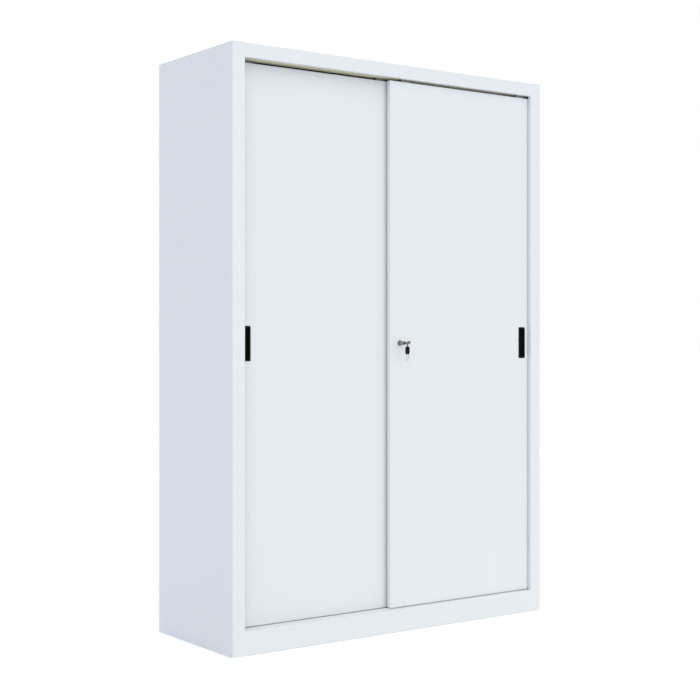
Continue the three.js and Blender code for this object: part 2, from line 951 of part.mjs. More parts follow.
place('left_door_shell', doorShell(-1), whitePaint());
place('right_door_shell', rightDoorShell(), whitePaint());
for (const [word, side] of Object.entries(sides)) {
  place(`${word}_door_stiffener`, stiffener(side), whitePaint());
  place(`${word}_door_grip`, grip(side), blackPlastic());
  rollerPlaces(side).forEach((x, i) => {
    const end = `${word}_door_${i === 0 ? 'left' : 'right'}`;
    place(`${end}_roller`, roller(side, x), whiteNylon());
    place(`${end}_axle`, rollerAxle(side, x), zincSteel());
    place(`${end}_fork`, rollerFork(side, x), zincSteel());
    place(`${end}_top_guide`, topGuide(side, x), greyNylon());
  });
  place(`${word}_door_closed_buffer`, closedBuffer(side), greyRubber());
  place(`${word}_door_open_stop`, openStop(side), greyRubber());
}

place('lock_housing', lockHousing(), chrome());
place('lock_nut', lockNut(), zincSteel());
place('lock_barrel', lockBarrel().translate([lockX, 0, lockHeight]), chrome());
place('lock_plug', lockPlug().translate([lockX, 0, lockHeight]), nickel());
place('key_blade', keyBlade().translate([lockX, 0, lockHeight]), nickel());
place('key_bow', keyBow(), blackPlastic());
place('catch_plate', catchPlate(), zincSteel());

export default cabinet;
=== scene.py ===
import math

import bmesh
import bpy
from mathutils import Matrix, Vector


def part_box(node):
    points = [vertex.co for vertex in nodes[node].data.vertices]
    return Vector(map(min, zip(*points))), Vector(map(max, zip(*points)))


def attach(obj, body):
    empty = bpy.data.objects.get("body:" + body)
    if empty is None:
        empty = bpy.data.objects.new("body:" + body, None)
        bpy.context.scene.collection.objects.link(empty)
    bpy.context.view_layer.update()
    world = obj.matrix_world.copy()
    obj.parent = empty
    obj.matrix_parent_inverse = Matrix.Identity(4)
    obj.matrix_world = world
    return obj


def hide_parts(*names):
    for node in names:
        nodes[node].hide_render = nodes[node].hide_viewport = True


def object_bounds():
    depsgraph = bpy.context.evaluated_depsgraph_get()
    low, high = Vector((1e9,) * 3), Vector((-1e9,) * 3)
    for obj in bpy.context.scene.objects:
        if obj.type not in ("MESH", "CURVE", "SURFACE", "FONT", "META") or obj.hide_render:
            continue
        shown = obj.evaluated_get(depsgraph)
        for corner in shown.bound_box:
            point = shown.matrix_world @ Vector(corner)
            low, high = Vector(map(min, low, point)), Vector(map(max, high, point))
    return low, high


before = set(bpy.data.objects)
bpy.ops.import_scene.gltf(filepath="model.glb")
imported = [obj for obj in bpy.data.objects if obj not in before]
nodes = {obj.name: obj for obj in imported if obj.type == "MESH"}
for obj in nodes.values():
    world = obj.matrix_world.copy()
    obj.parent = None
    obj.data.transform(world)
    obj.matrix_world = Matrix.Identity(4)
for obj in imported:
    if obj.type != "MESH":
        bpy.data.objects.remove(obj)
cad_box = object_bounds()

# Camera
# A level view from the front left at waist height. The focal length and the level line are those that
# the cabinet's straight edges give in a square picture of 700 pixels.
picture_side = 700
sensor_width = 36
focal_length = 1410
axis_column = 430
level_line = 336.1
camera_place = Vector((-2.642, -3.823, 0.9393))
camera_turn = math.radians(37.48)
view_depth = 200

camera = bpy.data.objects.new("camera", bpy.data.cameras.new("camera"))
bpy.context.scene.collection.objects.link(camera)
camera.location = camera_place
camera.rotation_euler = (math.pi / 2, 0, -camera_turn)
camera.data.sensor_width = sensor_width
camera.data.lens = focal_length / picture_side * sensor_width
camera.data.shift_x = (picture_side / 2 - axis_column) / picture_side
camera.data.shift_y = (level_line - picture_side / 2) / picture_side
camera.data.clip_end = view_depth
bpy.context.scene.camera = camera


# Studio
# A pale floor without an edge in sight, a white surround, a soft lamp in front, higher than the cabinet
# and a little to its left, and a weak one from behind.
class Shade:
    """An output socket in a material's nodes; sums, products and powers of it become Math nodes."""

    def __init__(self, tree, socket=None):
        self.tree = tree
        self.socket = socket

    def node(self, kind, settings=None, inputs=None, output=0):
        """A new node with these settings, and these values or links at its inputs."""
        made = self.tree.nodes.new(kind)
        for name, value in (settings or {}).items():
            setattr(made, name, value)
        for name, value in (inputs or {}).items():
            if isinstance(value, Shade):
                self.tree.links.new(value.socket, made.inputs[name])
            else:
                made.inputs[name].default_value = value
        return Shade(self.tree, made.outputs[output] if made.outputs else None)

    def maths(self, operation, *values):
        return self.node("ShaderNodeMath", {"operation": operation}, dict(enumerate(values)))

    def __add__(self, other):
        return self.maths("ADD", self, other)

    def __sub__(self, other):
        return self.maths("SUBTRACT", self, other)

    def __rsub__(self, other):
        return self.maths("SUBTRACT", other, self)

    def __mul__(self, other):
        return self.maths("MULTIPLY", self, other)

    def __pow__(self, other):
        return self.maths("POWER", self, other)

    def __gt__(self, other):
        return self.maths("GREATER_THAN", self, other)

    __radd__ = __add__

    def mix(self, first, second):
        """Goes from the first colour to the second as this value goes from 0 to 1."""
        sockets = {"Factor": self, "A": first, "B": second}
        return self.node("ShaderNodeMix", {"data_type": "RGBA"}, sockets, "Result")

    def scaled(self, factors):
        """These coordinates times a factor along each axis."""
        sockets = {0: self, 1: factors}
        return self.node("ShaderNodeVectorMath", {"operation": "MULTIPLY"}, sockets)

    def parts(self):
        """The three coordinates of this place, each by itself."""
        split = self.node("ShaderNodeSeparateXYZ", None, {"Vector": self})
        return [Shade(self.tree, output) for output in split.socket.node.outputs]

    def noise(self, scale, detail=2.0, roughness=0.5):
        """Noise over these coordinates, in features of about 1 / scale metres."""
        sockets = {"Vector": self, "Scale": scale, "Detail": detail, "Roughness": roughness}
        return self.node("ShaderNodeTexNoise", None, sockets)


def opaque(red, green, blue):
    return (red, green, blue, 1)


def seen_directly(shade):
    """1 for what the camera, a mirror or glass shows, 0 for the light that falls on the object."""
    outputs = shade.node("ShaderNodeLightPath").socket.node.outputs
    kinds = ("Is Camera Ray", "Is Glossy Ray", "Is Transmission Ray")
    camera_ray, glossy_ray, glass_ray = [Shade(shade.tree, outputs[kind]) for kind in kinds]
    return shade.maths("MAXIMUM", shade.maths("MAXIMUM", camera_ray, glossy_ray), glass_ray)


plain_white = opaque(1, 1, 1)
surround_light = opaque(0.621, 0.651, 0.758)

world = bpy.data.worlds.new("white_surround")
bpy.context.scene.world = world
world.use_nodes = True
world.node_tree.nodes.clear()
surround = Shade(world.node_tree)
surround_colour = seen_directly(surround).mix(surround_light, plain_white)
sky = surround.node("ShaderNodeBackground", None, {"Color": surround_colour, "Strength": 1.0})
surround.node("ShaderNodeOutputWorld", None, {"Surface": sky})

floor_half = 60
floor_in_light = opaque(0.9, 0.91, 0.93)
floor_in_view = opaque(0.9, 0.9, 0.9)
floor_lift = 0.3

floor_mesh = bpy.data.meshes.new("studio_floor")
floor_corners = [(-1, -1), (1, -1), (1, 1), (-1, 1)]
floor_mesh.from_pydata([(x * floor_half, y * floor_half, 0) for x, y in floor_corners], [], [(0, 1, 2, 3)])
floor = bpy.data.objects.new("studio_floor", floor_mesh)
bpy.context.scene.collection.objects.link(floor)

floor_paint = bpy.data.materials.new("studio_floor")
floor_paint.use_nodes = True
floor_paint.node_tree.nodes.clear()
ground = Shade(floor_paint.node_tree)
lit = ground.node("ShaderNodeBsdfDiffuse", None, {"Color": floor_in_light})
bright = ground.node("ShaderNodeBsdfDiffuse", None, {"Color": floor_in_view})
lift = ground.node("ShaderNodeEmission", None, {"Color": plain_white, "Strength": floor_lift})
bright = ground.node("ShaderNodeAddShader", None, {0: bright, 1: lift})
surface = ground.node("ShaderNodeMixShader", None, {0: seen_directly(ground), 1: lit, 2: bright})
ground.node("ShaderNodeOutputMaterial", None, {"Surface": surface})
floor_mesh.materials.append(floor_paint)

lamps = {
    "front_lamp": {"power": 1.02, "colour": (1, 0.94, 0.66), "towards": (0.12, 0.78, -0.61), "spread": 70},
    "back_lamp": {"power": 0.5, "colour": (1, 1, 1), "towards": (-0.55, -0.6, -0.6), "spread": 90},
}
for name, lamp in lamps.items():
    sun = bpy.data.lights.new(name, "SUN")
    sun.energy = lamp["power"]
    sun.color = lamp["colour"]
    sun.angle = math.radians(lamp["spread"])
    holder = bpy.data.objects.new(name, sun)
    holder.rotation_euler = Vector(lamp["towards"]).to_track_quat("-Z", "Y").to_euler()
    bpy.context.scene.collection.objects.link(holder)
bpy.context.scene.view_settings.view_transform = "Standard"


# Casing
# Side panels, top, back, floor, plinth and track of 1 mm sheet steel, folded square at their edges,
# spot-welded and coated with a white powder paint that keeps a faint orange peel. The four front
# corners, where a flange meets the rail or the plinth, are welded and ground.
def new_finish(name, fixed):
    """A new material with these fixed values, its shader, and the place on the piece."""
    material = bpy.data.materials.new(name)
    material.use_nodes = True
    shader = material.node_tree.nodes["Principled BSDF"]
    for socket, value in fixed.items():
        shader.inputs[socket].default_value = value
    where = Shade(material.node_tree).node("ShaderNodeTexCoord", output="Object")
    return material, shader, where


def connect(shader, **shades):
    """Feeds shades to the shader's inputs, named with _ for each space."""
    for name, shade in shades.items():
        socket = shader.inputs[name.replace("_", " ")]
        socket.id_data.links.new(shade.socket, socket)


def bump(shade, height, depth, strength, over=None):
    """The normal of a surface whose height goes from 0 to depth metres, over another one's bumps."""
    sockets = {"Height": height, "Distance": depth, "Strength": strength}
    if over:
        sockets["Normal"] = over
    return shade.node("ShaderNodeBump", None, sockets)


case_high = cad_box[1]
weld_pitch = 0.09
weld_radius = 0.0034
weld_core_share = 0.6
weld_inset = 0.011
weld_dimple = 0.0004
weld_layer = 0.0004
# Painted shade: the weld dimples are coloured darker than the paint around them.
painted_weld_shade = opaque(0.62, 0.66, 0.69)
weld_shade_share = 0.5


def weld_row(off, along):
    """1 in a row of round spots, 0 beside them, from the distances across and along the row."""
    step = along.maths("FLOORED_MODULO", along, weld_pitch) - weld_pitch / 2
    distance = (off * off + step * step) ** 0.5
    fade = {
        "Value": distance,
        "From Min": weld_radius * weld_core_share,
        "From Max": weld_radius,
        "To Min": 1,
        "To Max": 0,
    }
    return distance.node("ShaderNodeMapRange", {"interpolation_type": "SMOOTHSTEP"}, fade)


def weld_marks(where):
    """The spot welds down the back flanges and along the back lip of the top."""
    x, y, z = where.parts()
    down = weld_row(x.maths("ABSOLUTE", x) - (case_high.x - weld_inset), z)
    along = weld_row(z - (case_high.z - weld_inset), x)
    return (down + along) * (y > case_high.y - weld_layer)


def powder_coat(name, thin, thick, gloss):
    """Powder paint, thicker in clouds and streaks, with its orange peel, the weld dimples below it and
    painted shade in them.
    """
    material, shader, where = new_finish(name, {"IOR": 1.5})
    cloud = where.noise(scale=2.6, detail=3)
    streak = where.scaled((9, 9, 0.7)).noise(scale=1.4, detail=2)
    peel = where.noise(scale=480, detail=1)
    grain = where.noise(scale=2400, detail=1)
    marks = weld_marks(where)
    thickness = cloud * 0.6 + streak * 0.4
    skin = bump(where, peel * 0.7 + grain * 0.3, depth=0.00006, strength=0.5)
    connect(
        shader,
        # Painted shade in the weld dimples: the base colour darkens there.
        Base_Color=(marks * weld_shade_share).mix(thickness.mix(thin, thick), painted_weld_shade),
        Roughness=gloss + (peel - 0.5) * 0.08 + (cloud - 0.5) * 0.1,
        Normal=bump(where, 1 - marks, depth=weld_dimple, strength=1, over=skin),
    )
    return material


white = (opaque(0.79, 0.83, 0.86), opaque(0.82, 0.855, 0.885))
white_paint = powder_coat("white_powder_coat", *white, gloss=0.4)
inner_white = (opaque(0.74, 0.775, 0.8), opaque(0.78, 0.81, 0.83))
back_paint = powder_coat("inside_powder_coat", *inner_white, gloss=0.5)


def coat(material, *names):
    """Gives CAD nodes that stay their finish."""
    for name in names:
        nodes[name].data.materials.clear()
        nodes[name].data.materials.append(material)


coat(white_paint, "left_side_panel", "right_side_panel", "top_panel", "plinth", "floor_panel", "bottom_track")
coat(back_paint, "back_panel")


def lofted(name, rings, loop=False, crease=35):
    """A mesh through rings of equally many points, with its ends capped or joined to each other."""
    count = len(rings[0])
    last = len(rings) * count
    faces = []
    for i in range(len(rings) if loop else len(rings) - 1):
        here, there = i * count, (i + 1) * count % last
        for k in range(count):
            n = (k + 1) % count
            faces.append((here + k, here + n, there + n, there + k))
    if not loop:
        faces.append(tuple(reversed(range(count))))
        faces.append(tuple(range(last - count, last)))
    mesh = bpy.data.meshes.new(name)
    mesh.from_pydata([point for ring in rings for point in ring], [], faces)
    work = bmesh.new()
    work.from_mesh(mesh)
    bmesh.ops.recalc_face_normals(work, faces=work.faces)
    if work.calc_volume(signed=True) < 0:
        bmesh.ops.reverse_faces(work, faces=work.faces)
    work.to_mesh(mesh)
    work.free()
    mesh.shade_smooth()
    mesh.set_sharp_from_angle(angle=math.radians(crease))
    piece = bpy.data.objects.new(name, mesh)
    bpy.context.scene.collection.objects.link(piece)
    return piece


def finished(piece, material, body, slot, *replaced):
    """Paints a piece, lets it ride on its body and stand for the nodes that it replaces."""
    piece.data.materials.clear()
    piece.data.materials.append(material)
    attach(piece, body)
    if replaced:
        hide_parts(*replaced)


def quarter_turn(steps):
    """The sine and cosine at equal steps through a right angle."""
    angles = [i / steps * math.pi / 2 for i in range(steps + 1)]
    return [(math.sin(angle), math.cos(angle)) for angle in angles]


sheet = 0.001
bend_radius = 0.0018
bend_facets = 3
joint_gap = 0.0003
plinth_low, plinth_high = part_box("plinth")
rail_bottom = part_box("top_panel")[0].z


def corner_bead(name, side, folded_end, straight_end):
    """A ground weld in the groove between a flange's fold and the sheet that ends beside it."""
    fold = [(1 - sine, 1 - cosine) for sine, cosine in quarter_turn(bend_facets)]
    edge = plinth_high.x
    groove = [(edge, 0)] + [(edge + joint_gap + bend_radius * x, bend_radius * y) for x, y in fold]
    groove.append((edge, bend_radius))
    towards = math.copysign(bend_radius, folded_end - straight_end)
    rings = [[(side * x, plinth_low.y + y, straight_end) for x, y in groove]]
    for back, sunk in fold[:-1]:
        height = folded_end - towards * back
        rings.append([(side * x, plinth_low.y + max(y, bend_radius * sunk), height) for x, y in groove])
    return lofted(name, rings)


for side, toward in (("left", -1), ("right", 1)):
    top_bead = corner_bead(f"{side}_top_corner_weld", toward, rail_bottom, case_high.z - sheet)
    finished(top_bead, white_paint, "casing", "white_paint")
    plinth_bead = corner_bead(f"{side}_plinth_corner_weld", toward, plinth_high.z, 0)
    finished(plinth_bead, white_paint, "casing", "white_paint")


# Top channel
# A double guide extruded in beige plastic, fixed behind the top rail. It shows as a beige line between
# the rail and the doors.
def moulded(name, base, glint, gloss, grain_scale, depth, gleam=0.5):
    """Moulded or extruded plastic or rubber, with a fine grain and faint traces of its flow."""
    material, shader, where = new_finish(name, {"IOR": 1.46, "Specular IOR Level": gleam})
    grain = where.noise(grain_scale, detail=2)
    flow = where.noise(scale=22, detail=3)
    connect(
        shader,
        Base_Color=(flow * 0.7 + grain * 0.3).mix(base, glint),
        Roughness=gloss + (grain - 0.5) * 0.16 + (flow - 0.5) * 0.08,
        Normal=bump(where, grain, depth, strength=0.6),
    )
    return material


beige = (opaque(0.84, 0.80, 0.58), opaque(0.89, 0.86, 0.65))
beige_plastic = moulded("beige_plastic", *beige, gloss=0.42, grain_scale=800, depth=0.00003)
coat(beige_plastic, "top_channel")


# Uprights, clips and shelves
# Four slotted uprights of zinc-plated strip welded to the sides. Bent clips hook into their slots and
# carry three folded shelves in the casing's paint.
def plated(name, dark, pale, gloss, spangle):
    """Zinc plating: crystals about 1 / spangle metres across, with scuffs over them."""
    material, shader, where = new_finish(name, {"Metallic": 1.0})
    crystals = where.node("ShaderNodeTexVoronoi", None, {"Vector": where, "Scale": spangle}, "Color")
    flake = where.node("ShaderNodeSeparateColor", None, {"Color": crystals}, "Red")
    scuff = where.noise(scale=90, detail=4, roughness=0.65)
    grain = where.noise(scale=1500, detail=1)
    connect(
        shader,
        Base_Color=(flake * 0.55 + scuff * 0.45).mix(dark, pale),
        Roughness=gloss + flake * 0.08 + (scuff - 0.5) * 0.2,
        Normal=bump(where, grain * 0.4 + scuff * 0.6, depth=0.00004, strength=0.4),
    )
    return material


zinc_grey = (opaque(0.50, 0.52, 0.54), opaque(0.66, 0.68, 0.70))
zinc = plated("zinc_plating", *zinc_grey, gloss=0.3, spangle=160)


same_corner = 0.00001
sharp_angle = math.radians(40)


def eased(name, width, segments=2):
    """Rounds the sharp edges of a node that stays."""
    joined = nodes[name].modifiers.new("joined_corners", "WELD")
    joined.merge_threshold = same_corner
    edge = nodes[name].modifiers.new("eased_edges", "BEVEL")
    edge.width = width
    edge.segments = segments
    edge.limit_method = "ANGLE"
    edge.angle_limit = sharp_angle
    edge.use_clamp_overlap = True
    evened = nodes[name].modifiers.new("even_shading", "WEIGHTED_NORMAL")
    evened.keep_sharp = True


for side in ("left", "right"):
    for end in ("front", "back"):
        coat(zinc, f"{side}_{end}_upright")
        for level in (1, 2, 3):
            coat(zinc, f"{side}_{end}_clip_{level}")
            eased(f"{side}_{end}_clip_{level}", width=0.0003)
coat(white_paint, "shelf_1", "shelf_2", "shelf_3")


# Doors
# Two trays of sheet steel, the right one in front, with a hat section glued behind each skin. The
# same powder paint covers them inside and out.
for side in ("left", "right"):
    coat(white_paint, f"{side}_door_shell", f"{side}_door_stiffener")


# Door grips
# Flush finger pulls of black plastic, moulded in one piece and snapped into the door skins. A crowned
# rim stands a little proud; the pocket narrows slightly towards its rounded floor.
def rounded_outline(half_width, half_height, radius, steps=8):
    """Points round a rectangle with rounded corners, the same number for every size."""
    points = []
    corners = [(1, 1), (-1, 1), (-1, -1), (1, -1)]
    for quarter, (across, up) in enumerate(corners):
        for i in range(steps + 1):
            angle = (quarter + i / steps) * math.pi / 2
            x = across * (half_width - radius) + radius * math.cos(angle)
            z = up * (half_height - radius) + radius * math.sin(angle)
            points.append((x, z))
    return points


black = (opaque(0.004, 0.004, 0.005), opaque(0.008, 0.008, 0.009))
satin = {"gloss": 0.5, "grain_scale": 1700, "depth": 0.00004, "gleam": 0.12}
black_plastic = moulded("black_satin_plastic", *black, **satin)

rim_width = 0.0036
rim_thickness = 0.0012
rim_corner = 0.004
rim_crown = 0.0009
lip_radius = 0.0009
lip_drop = 0.0001
pocket_wall = 0.0014
pocket_play = 0.0002
pocket_draft = 0.0003
pocket_round = 0.002
least_corner = 0.0006
grip_arc_steps = 5
back_rounding = [(0.0015, 0), (0.0004, 0.0011), (0, 0.0024)]


def door_grip(side):
    """A grip as rings from its back, out round its rim and down its pocket to the floor."""
    low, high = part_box(f"{side}_door_grip")
    middle = (low + high) / 2
    half_width, half_height = (high.x - low.x) / 2, (high.z - low.z) / 2
    rim_back = low.y + rim_thickness

    def ring(inset, y, margin=0, corner=rim_corner):
        outline_width, outline_height = half_width - margin - inset, half_height - margin - inset
        outline = rounded_outline(outline_width, outline_height, max(corner - inset, least_corner))
        return [(middle.x + x, y, middle.z + z) for x, z in outline]

    def back_ring(inset, y):
        return ring(inset, y, rim_width, rim_corner - pocket_wall)

    rings = [back_ring(inset, high.y - rise) for inset, rise in back_rounding]
    rings += [back_ring(0, rim_back), ring(0, rim_back)]
    for sine, cosine in quarter_turn(grip_arc_steps):
        rings.append(ring(rim_crown * (1 - cosine), low.y + rim_crown * (1 - sine)))
    lip = rim_width + pocket_wall + pocket_play - lip_radius
    lip_top = low.y + lip_drop
    for sine, cosine in quarter_turn(grip_arc_steps):
        rings.append(ring(lip + lip_radius * sine, lip_top + lip_radius * (1 - cosine)))
    foot = lip + lip_radius + pocket_draft
    floor_front = high.y - pocket_wall
    for sine, cosine in quarter_turn(grip_arc_steps):
        rings.append(ring(foot + pocket_round * (1 - cosine), floor_front - pocket_round * (1 - sine)))
    return lofted(f"{side}_door_finger_pull", rings)


for side in ("left", "right"):
    finished(door_grip(side), black_plastic, f"{side}_door", "black_plastic", f"{side}_door_grip")


# Rollers, axles and forks
# Grooved nylon rollers run on the two ribs of the track. Each turns on a plated steel axle in a bent
# fork that is riveted to the bottom of its door. Nylon guides at the top run in the channel.
def turned_rings(centre, profile, sides=64, along="Y"):
    """Rings round an axis from pairs of radius and distance along it."""
    rings = []
    for radius, reach in profile:
        ring = []
        for i in range(sides):
            u = radius * math.cos(2 * math.pi * i / sides)
            v = radius * math.sin(2 * math.pi * i / sides)
            ring.append(Vector((u, reach, v) if along == "Y" else (reach, u, v)) + Vector(centre))
        rings.append(ring)
    return rings


def mirrored(side):
    """A profile of one side and, in reverse, its mirror image on the other."""
    return side + [(radius, -reach) for radius, reach in reversed(side)]


grey = (opaque(0.19, 0.185, 0.172), opaque(0.235, 0.23, 0.215))
grey_nylon = moulded("grey_nylon", *grey, gloss=0.5, grain_scale=900, depth=0.00003)
natural = (opaque(0.74, 0.73, 0.67), opaque(0.82, 0.81, 0.76))
white_nylon = moulded("natural_nylon", *natural, gloss=0.46, grain_scale=900, depth=0.00003)

axle_gap = 0.0001
bore_bevel = 0.0003
bore_bevel_depth = 0.0002
hub_wall = 0.0026
rim_wall = 0.0026
web_recess = 0.0007
web_slope = 0.0004
rim_round = 0.0004
tread_width = 0.0015
tread_bevel = 0.0003
groove_depth = 0.003
groove_round = 0.0003
groove_half = 0.0018
groove_floor_half = 0.0014
pin_sides = 32
pin_face_inset = 0.0022
pin_round = 0.0006
pin_crown = 0.0001


def running_gear(door, end):
    """One roller of a door with its axle and fork, and the top guide above them."""
    name = f"{door}_door_{end}"
    low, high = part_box(f"{name}_roller")
    axle_low, axle_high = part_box(f"{name}_axle")
    axle_radius = (axle_high.z - axle_low.z) / 2
    axle_reach = (axle_high.y - axle_low.y) / 2

    rim = (high.z - low.z) / 2
    half = (high.y - low.y) / 2
    groove = rim - groove_depth
    bore = axle_radius + axle_gap
    hub = bore + hub_wall
    wheel_side = [
        (bore, half - bore_bevel_depth),
        (bore + bore_bevel, half),
        (hub, half),
        (hub + web_slope, half - web_recess),
        (rim - rim_wall - web_slope, half - web_recess),
        (rim - rim_wall, half),
        (rim - rim_round, half),
        (rim - rim_round / 4, half - rim_round / 4),
        (rim, half - rim_round),
        (rim, half - tread_width),
        (rim - tread_bevel, half - tread_width - tread_bevel),
        (groove + groove_round, groove_half),
        (groove, groove_floor_half),
    ]
    wheel_rings = turned_rings((low + high) / 2, mirrored(wheel_side))
    wheel = lofted(f"{name}_grooved_wheel", wheel_rings, loop=True)
    finished(wheel, white_nylon, f"{name}_roller", "white_nylon", f"{name}_roller")

    pin_end = [
        (axle_radius - pin_face_inset, axle_reach),
        (axle_radius - pin_round, axle_reach - pin_crown),
        (axle_radius, axle_reach - pin_crown - pin_round),
    ]
    pin_rings = turned_rings((axle_low + axle_high) / 2, mirrored(pin_end), pin_sides)
    pin = lofted(f"{name}_axle_pin", pin_rings)
    finished(pin, zinc, f"{door}_door", "zinc_steel", f"{name}_axle")

    coat(zinc, f"{name}_fork")
    eased(f"{name}_fork", width=0.0004)
    coat(grey_nylon, f"{name}_top_guide")
    eased(f"{name}_top_guide", width=0.0008, segments=3)


for door in ("left", "right"):
    for end in ("left", "right"):
        running_gear(door, end)


# Lock
# A push lock: a chrome bezel and threaded housing through the door skin, held by a nut behind it, a
# sprung barrel that slides in the housing, and a nickel plug that the key turns.
def metal(name, dark, pale, gloss, brushing):
    """Polished or plated metal with a haze of handling and a fine brushing along one axis."""
    material, shader, where = new_finish(name, {"Metallic": 1.0})
    haze = where.noise(scale=260, detail=3)
    brushed = where.scaled(brushing).noise(scale=1, detail=2)
    connect(
        shader,
        Base_Color=haze.mix(dark, pale),
        Roughness=gloss + (brushed - 0.5) * 0.1,
        Normal=bump(where, brushed, depth=0.00001, strength=0.3),
    )
    return material


# Painted reflection: the chrome is coloured dark grey, standing in for dark surroundings mirrored in it.
chrome_dark_reflection = (opaque(0.25, 0.245, 0.24), opaque(0.33, 0.325, 0.32))
chrome = metal("polished_chrome", *chrome_dark_reflection, gloss=0.14, brushing=(900, 60, 900))
# Nickel coloured far darker than bare plating.
dark_nickel_tone = (opaque(0.19, 0.185, 0.17), opaque(0.27, 0.262, 0.242))
nickel = metal("nickel_plating", *dark_nickel_tone, gloss=0.26, brushing=(300, 2400, 300))

housing_low, housing_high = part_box("lock_housing")
lock_axis = (housing_low + housing_high) / 2
axis_foot = (lock_axis.x, 0, lock_axis.z)
barrel_low, barrel_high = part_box("lock_barrel")
barrel_radius = (barrel_high.z - barrel_low.z) / 2
bezel_radius = (housing_high.z - housing_low.z) / 2
bezel_thickness = 0.0015
bezel_round = 0.0012
bezel_arc_steps = 4
mouth_bevel = 0.0004
mouth_depth = 0.0003
barrel_gap = 0.0003
thread_inset = 0.0017
thread_pitch = 0.001
thread_depth = 0.0005
thread_start = 0.0006
end_bevel = 0.0004

bore = barrel_radius + barrel_gap
thread_radius = bezel_radius - thread_inset
bezel_back = housing_low.y + bezel_thickness
profile = [(bore, housing_low.y + mouth_depth), (bore + mouth_bevel, housing_low.y)]
for sine, cosine in quarter_turn(bezel_arc_steps):
    radius = bezel_radius - bezel_round + bezel_round * sine
    profile.append((radius, housing_low.y + bezel_round * (1 - cosine)))
profile += [(bezel_radius, bezel_back), (thread_radius, bezel_back)]
for i in range(int((housing_high.y - bezel_back - thread_pitch) / thread_pitch)):
    start = bezel_back + thread_start + i * thread_pitch
    root = (thread_radius - thread_depth, start + thread_pitch / 4)
    profile += [root, (thread_radius, start + thread_pitch * 3 / 4)]
profile += [(thread_radius - end_bevel, housing_high.y), (bore, housing_high.y)]
housing = lofted("lock_bezel_and_housing", turned_rings(axis_foot, profile), loop=True)
finished(housing, chrome, "right_door", "chrome", "lock_housing")
coat(zinc, "lock_nut")
eased("lock_nut", width=0.0004)

plug_low, plug_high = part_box("lock_plug")
seat_gap = 0.00015
seat_depth = 0.0173
seat_round = 0.001
seat_round_depth = 0.0001
seat_bevel = 0.0003
shoulder_reach = 0.032
shoulder_bevel = 0.0004
bolt_radius = 0.0035
front_rounding = [(0.0008, 0), (0.0002, 0.0003), (0, 0.0009)]
bolt_rounding = [(0, 0.0008), (0.0003, 0.0002), (0.0009, 0)]

seat = (plug_high.z - plug_low.z) / 2 + seat_gap
front, back = barrel_low.y, barrel_high.y
shoulder = front + shoulder_reach
profile = [
    (seat - seat_round, front + seat_depth),
    (seat, front + seat_depth - seat_round_depth),
    (seat, front + seat_bevel),
    (seat + seat_bevel, front),
]
profile += [(barrel_radius - inset, front + depth) for inset, depth in front_rounding]
profile += [
    (barrel_radius, shoulder - shoulder_bevel),
    (barrel_radius - shoulder_bevel, shoulder),
    (bolt_radius, shoulder),
]
profile += [(bolt_radius - inset, back - depth) for inset, depth in bolt_rounding]
sliding_barrel = lofted("lock_push_barrel", turned_rings(axis_foot, profile))
finished(sliding_barrel, chrome, "lock_barrel", "chrome", "lock_barrel")
coat(nickel, "lock_plug")
eased("lock_plug", width=0.0002)


# Key
# A nickel-plated blade with a small head that stands in the plug, and a bow of black plastic hinged
# below it, so that it hangs down out of the way. A loop of steel wire is clipped into the bow's eye.
coat(nickel, "key_blade")
eased("key_blade", width=0.00025)


def cut(piece, cutter):
    """Takes the cutter's shape out of a piece, and the cutter with it."""
    saw = piece.modifiers.new("cut", "BOOLEAN")
    saw.operation = "DIFFERENCE"
    saw.solver = "EXACT"
    saw.object = cutter
    bpy.context.view_layer.update()
    piece.data = bpy.data.meshes.new_from_object(
        piece.evaluated_get(bpy.context.evaluated_depsgraph_get())
    )
    piece.modifiers.clear()
    bpy.data.objects.remove(cutter)


def cutting_block(low, high):
    (x0, y0, z0), (x1, y1, z1) = low, high
    rings = [[(x, y0, z0), (x, y1, z0), (x, y1, z1), (x, y0, z1)] for x in (x0, x1)]
    return lofted("cutting_block", rings)


bow_low, bow_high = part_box("key_bow")
bow_middle = (bow_low + bow_high) / 2
half_thick = (bow_high.x - bow_low.x) / 2
half_wide = (bow_high.y - bow_low.y) / 2
half_long = (bow_high.z - bow_low.z) / 2
bow_corner = half_wide - 0.0026
bow_corner_steps = 12
bow_edge = 0.0013
bow_edge_steps = 4
eye_radius = 0.003
eye_bevel = 0.0005
eye_drop = 0.0075
slot_half = 0.00135
slot_depth = 0.0105
overrun = 0.002


def bow_ring(inset, x):
    """The bow's outline, drawn in by the inset, on the plane at x."""
    wide, long = half_wide - inset, half_long - inset
    outline = rounded_outline(wide, long, bow_corner - inset, bow_corner_steps)
    return [(x, bow_middle.y + y, bow_middle.z + z) for y, z in outline]


def eye_ring(radius, x):
    """A circle round the eye, its points in line with those of the bow's outline."""
    outline = rounded_outline(half_wide, half_long, bow_corner, bow_corner_steps)
    ring = []
    for y, z in outline:
        angle = math.atan2(z + eye_drop, y)
        across, up = radius * math.cos(angle), radius * math.sin(angle)
        ring.append((x, bow_middle.y + across, bow_middle.z - eye_drop + up))
    return ring


rings = []
edge_arc = quarter_turn(bow_edge_steps)
for side, arc in ((1, edge_arc), (-1, reversed(edge_arc))):
    for sine, cosine in arc:
        reach = half_thick - bow_edge * (1 - cosine)
        rings.append(bow_ring(bow_edge * (1 - sine), lock_axis.x + side * reach))
for side in (-1, 1):
    eye = [
        eye_ring(eye_radius + eye_bevel, lock_axis.x + side * half_thick),
        eye_ring(eye_radius, lock_axis.x + side * (half_thick - eye_bevel)),
    ]
    rings += eye if side < 0 else reversed(eye)
bow = lofted("key_bow_moulding", rings, loop=True)
slot_low = (lock_axis.x - slot_half, bow_low.y - overrun, bow_high.z - slot_depth)
slot_high = (lock_axis.x + slot_half, bow_high.y + overrun, bow_high.z + overrun)
cut(bow, cutting_block(slot_low, slot_high))
finished(bow, black_plastic, "key_bow", "black_plastic", "key_bow")

